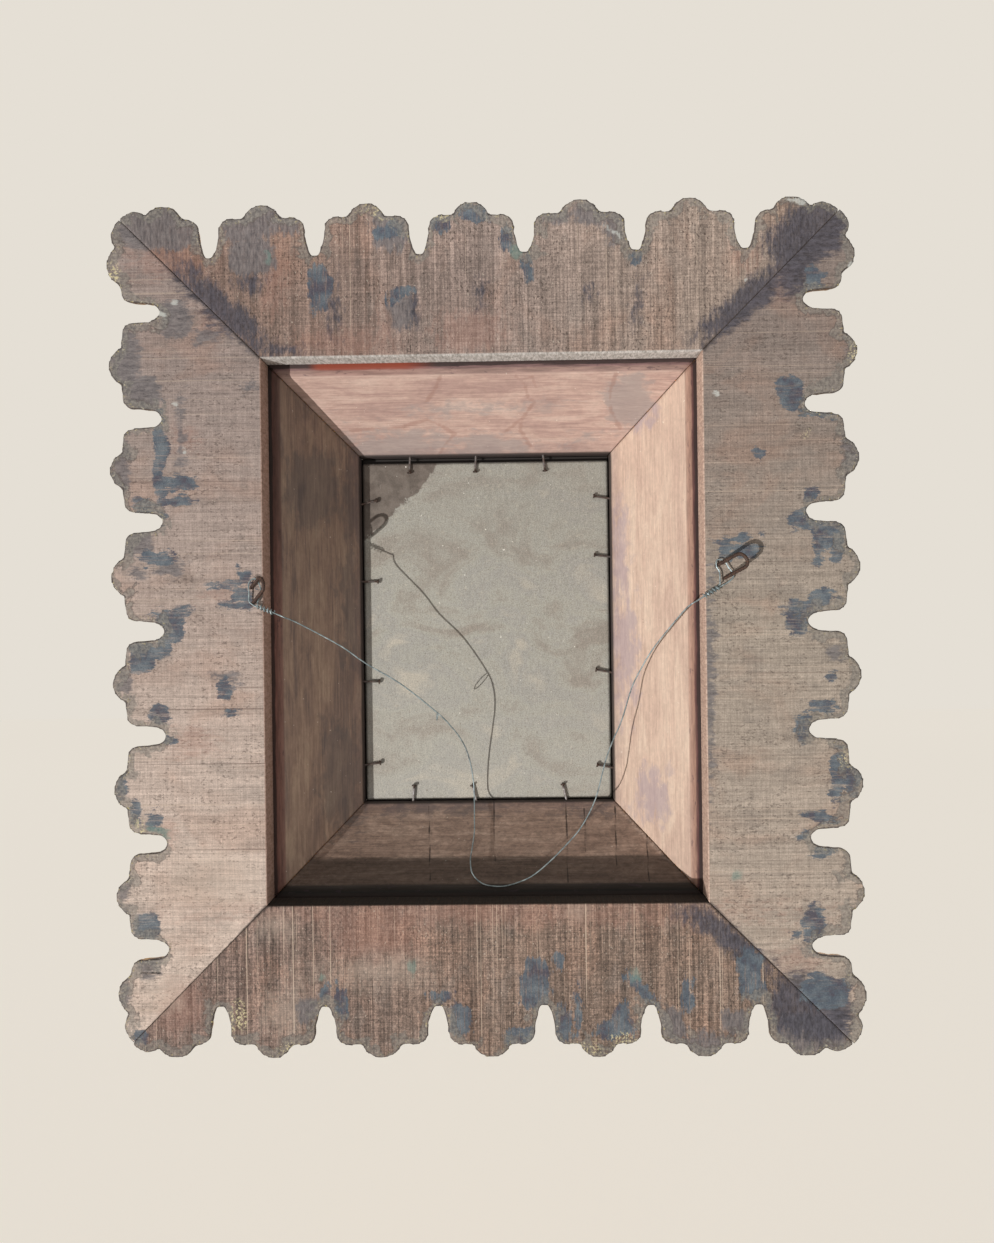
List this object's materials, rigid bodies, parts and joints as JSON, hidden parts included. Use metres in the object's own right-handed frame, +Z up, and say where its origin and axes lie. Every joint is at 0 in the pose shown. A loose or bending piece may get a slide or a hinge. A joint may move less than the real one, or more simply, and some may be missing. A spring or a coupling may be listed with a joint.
{
  "type": "giltwood mirror",
  "caption": "Carved wall mirror with a scalloped gilt border, a deep forward-stepped frame, nailed-in backing board and a slack hanging wire.",
  "frame": {"origin": "middle of the back plane, which lies against the wall", "axes": "+Z up, +X to the right as seen from the front, -Y towards the room and +Y into the wall"},
  "size_m": [0.532, 0.1214, 0.608],
  "materials": {
    "rail_wood": "old sawn softwood, bare on the back, gilded on the carved front",
    "slope_wood": "old planed board, bare in the hollow, gilded on the front",
    "gilt_moulding": "worn gilding over red bole",
    "mirror_glass": "polished",
    "backing_wood": "grey weathered thin board",
    "dark_iron": "rusted dark brown",
    "pale_wire": "dull galvanised"
  },
  "bodies": {
    "frame": {"top_rail": "rail_wood", "bottom_rail": "rail_wood", "left_rail": "rail_wood", "right_rail": "rail_wood", "top_slope": "slope_wood", "bottom_slope": "slope_wood", "left_slope": "slope_wood", "right_slope": "slope_wood", "top_bed_moulding": "gilt_moulding", "bottom_bed_moulding": "gilt_moulding", "left_bed_moulding": "gilt_moulding", "right_bed_moulding": "gilt_moulding", "top_sight_moulding": "gilt_moulding", "bottom_sight_moulding": "gilt_moulding", "left_sight_moulding": "gilt_moulding", "right_sight_moulding": "gilt_moulding", "mirror_glass": "mirror_glass", "backing_board": "backing_wood", "top_retaining_nails": "dark_iron", "bottom_retaining_nails": "dark_iron", "left_retaining_nails": "dark_iron", "right_retaining_nails": "dark_iron", "foot_nails": "dark_iron", "left_hook": "dark_iron", "right_hook": "dark_iron", "hanging_wire": "pale_wire", "left_wire_tie": "pale_wire", "right_wire_tie": "pale_wire"}
  },
  "joints": []
}
